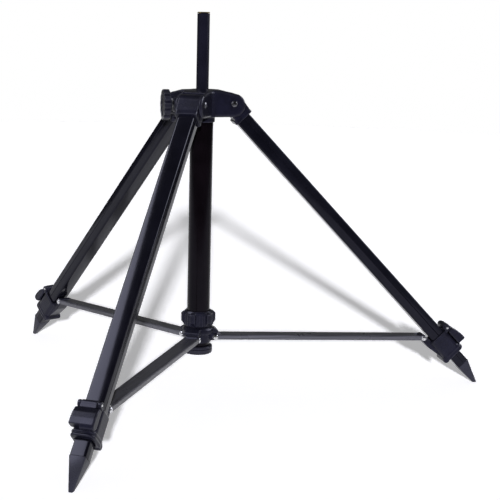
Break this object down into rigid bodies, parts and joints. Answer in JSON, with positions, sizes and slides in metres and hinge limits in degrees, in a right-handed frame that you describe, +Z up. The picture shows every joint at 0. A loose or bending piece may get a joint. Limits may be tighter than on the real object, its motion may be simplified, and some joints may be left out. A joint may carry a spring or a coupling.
{
  "type": "tripod stand",
  "caption": "Low folding tripod stand with telescopic legs, spreader arms on a sliding hub and a clamped centre post with a threaded socket in its top.",
  "frame": {"origin": "floor level, at the centre of the stand's plan outline", "axes": "+Z up along the centre post, +X across the two legs that point left and right, -Y along the third leg"},
  "size_m": [0.644, 0.5578, 0.469],
  "materials": {
    "black_anodised_aluminium": "satin black anodised",
    "black_painted_steel": "semi-gloss black enamel",
    "black_nylon": "moulded, fine matte texture",
    "bright_steel": "bright zinc plated",
    "brass": "turned, dull"
  },
  "bodies": {
    "frame": {"crown": "black_nylon", "centre_tube": "black_anodised_aluminium", "tube_end_cap": "black_nylon", "pivot_screw_a_left": "bright_steel", "pivot_screw_a_right": "bright_steel", "pivot_screw_b_left": "bright_steel", "pivot_screw_b_right": "bright_steel", "pivot_screw_c_left": "bright_steel", "pivot_screw_c_right": "bright_steel"},
    "post_carrier": {"post_guide": "black_nylon"},
    "post": {"post_tube": "black_anodised_aluminium", "threaded_insert": "brass"},
    "clamp_pad": {"clamp_pad": "brass"},
    "knob": {"lock_knob": "black_nylon", "knob_screw": "bright_steel"},
    "hub": {"hub": "black_nylon", "hub_collet": "black_nylon"},
    "collar": {"lock_collar": "black_nylon"},
    "arm_a": {"arm_a": "black_painted_steel", "hub_pin_a": "bright_steel"},
    "leg_a": {"leg_cap_a": "black_nylon", "outer_leg_a": "black_anodised_aluminium", "lock_housing_a": "black_nylon", "ear_pin_a": "bright_steel", "lever_pin_a": "bright_steel"},
    "lever_a": {"lever_a": "black_nylon"},
    "inner_leg_a": {"inner_leg_a": "black_anodised_aluminium", "inner_leg_guide_a": "black_nylon", "foot_spike_a": "black_nylon"},
    "arm_b": {"arm_b": "black_painted_steel", "hub_pin_b": "bright_steel"},
    "leg_b": {"leg_cap_b": "black_nylon", "outer_leg_b": "black_anodised_aluminium", "lock_housing_b": "black_nylon", "ear_pin_b": "bright_steel", "lever_pin_b": "bright_steel"},
    "lever_b": {"lever_b": "black_nylon"},
    "inner_leg_b": {"inner_leg_b": "black_anodised_aluminium", "inner_leg_guide_b": "black_nylon", "foot_spike_b": "black_nylon"},
    "arm_c": {"arm_c": "black_painted_steel", "hub_pin_c": "bright_steel"},
    "leg_c": {"leg_cap_c": "black_nylon", "outer_leg_c": "black_anodised_aluminium", "lock_housing_c": "black_nylon", "ear_pin_c": "bright_steel", "lever_pin_c": "bright_steel"},
    "lever_c": {"lever_c": "black_nylon"},
    "inner_leg_c": {"inner_leg_c": "black_anodised_aluminium", "inner_leg_guide_c": "black_nylon", "foot_spike_c": "black_nylon"}
  },
  "joints": [
    {"name": "hub_slide", "type": "slide", "parent": "frame", "child": "hub", "axis": [0, 0, 1], "range_m": [0, 0.1677]},
    {"name": "collar_turn", "type": "hinge", "parent": "hub", "child": "collar", "pos_m": [0, 0.09145, 0.096], "axis": [0, 0, 1], "range_deg": [0, 120]},
    {"name": "post_slide", "type": "slide", "parent": "frame", "child": "post_carrier", "axis": [0, 0, 1], "range_m": [-0.085, 0.155]},
    {"name": "post_turn", "type": "hinge", "parent": "post_carrier", "child": "post", "pos_m": [0, 0.09145, 0.3], "axis": [0, 0, 1], "continuous": true},
    {"name": "pad_travel", "type": "slide", "parent": "frame", "child": "clamp_pad", "axis": [-0.866, -0.5, 0], "range_m": [-0.0001, 0.0031]},
    {"name": "knob_turn", "type": "hinge", "parent": "clamp_pad", "child": "knob", "pos_m": [-0.03724, 0.06995, 0.3586], "axis": [-0.866, -0.5, 0], "range_deg": [0, 720]},
    {"name": "arm_a_fold", "type": "hinge", "parent": "hub", "child": "arm_a", "pos_m": [0.01801, 0.10185, 0.072], "axis": [-0.5, 0.866, 0], "range_deg": [-0.5, 87.2]},
    {"name": "leg_a_fold", "type": "hinge", "parent": "arm_a", "child": "leg_a", "pos_m": [0.25331, 0.2377, 0.0628], "axis": [-0.5, 0.866, 0], "range_deg": [-45.2, 0.5]},
    {"name": "lever_a_flip", "type": "hinge", "parent": "leg_a", "child": "lever_a", "pos_m": [0.27901, 0.25253, 0.07654], "axis": [0.5, -0.866, 0], "range_deg": [0, 100]},
    {"name": "leg_a_extend", "type": "slide", "parent": "leg_a", "child": "inner_leg_a", "axis": [0.595, 0.3435, -0.7266], "range_m": [0, 0.25]},
    {"name": "arm_b_fold", "type": "hinge", "parent": "hub", "child": "arm_b", "pos_m": [0, 0.07065, 0.072], "axis": [1, 0, 0], "range_deg": [-0.5, 87.2]},
    {"name": "leg_b_fold", "type": "hinge", "parent": "arm_b", "child": "leg_b", "pos_m": [0, -0.20105, 0.0628], "axis": [1, 0, 0], "range_deg": [-45.2, 0.5]},
    {"name": "lever_b_flip", "type": "hinge", "parent": "leg_b", "child": "lever_b", "pos_m": [0, -0.23072, 0.07654], "axis": [-1, 0, 0], "range_deg": [0, 100]},
    {"name": "leg_b_extend", "type": "slide", "parent": "leg_b", "child": "inner_leg_b", "axis": [0, -0.687, -0.7266], "range_m": [0, 0.25]},
    {"name": "arm_c_fold", "type": "hinge", "parent": "hub", "child": "arm_c", "pos_m": [-0.01801, 0.10185, 0.072], "axis": [-0.5, -0.866, 0], "range_deg": [-0.5, 87.2]},
    {"name": "leg_c_fold", "type": "hinge", "parent": "arm_c", "child": "leg_c", "pos_m": [-0.25331, 0.2377, 0.0628], "axis": [-0.5, -0.866, 0], "range_deg": [-45.2, 0.5]},
    {"name": "lever_c_flip", "type": "hinge", "parent": "leg_c", "child": "lever_c", "pos_m": [-0.27901, 0.25253, 0.07654], "axis": [0.5, 0.866, 0], "range_deg": [0, 100]},
    {"name": "leg_c_extend", "type": "slide", "parent": "leg_c", "child": "inner_leg_c", "axis": [-0.595, 0.3435, -0.7266], "range_m": [0, 0.25]}
  ],
  "couplings": [
    {"joint": "pad_travel", "follows": "knob_turn", "m_per_rad": 0.00023873},
    {"joint": "arm_a_fold", "follows": "hub_slide", "rad_per_m": 9.0254},
    {"joint": "leg_a_fold", "follows": "hub_slide", "rad_per_m": -4.6542},
    {"joint": "arm_b_fold", "follows": "hub_slide", "rad_per_m": 9.0254},
    {"joint": "leg_b_fold", "follows": "hub_slide", "rad_per_m": -4.6542},
    {"joint": "arm_c_fold", "follows": "hub_slide", "rad_per_m": 9.0254},
    {"joint": "leg_c_fold", "follows": "hub_slide", "rad_per_m": -4.6542}
  ]
}
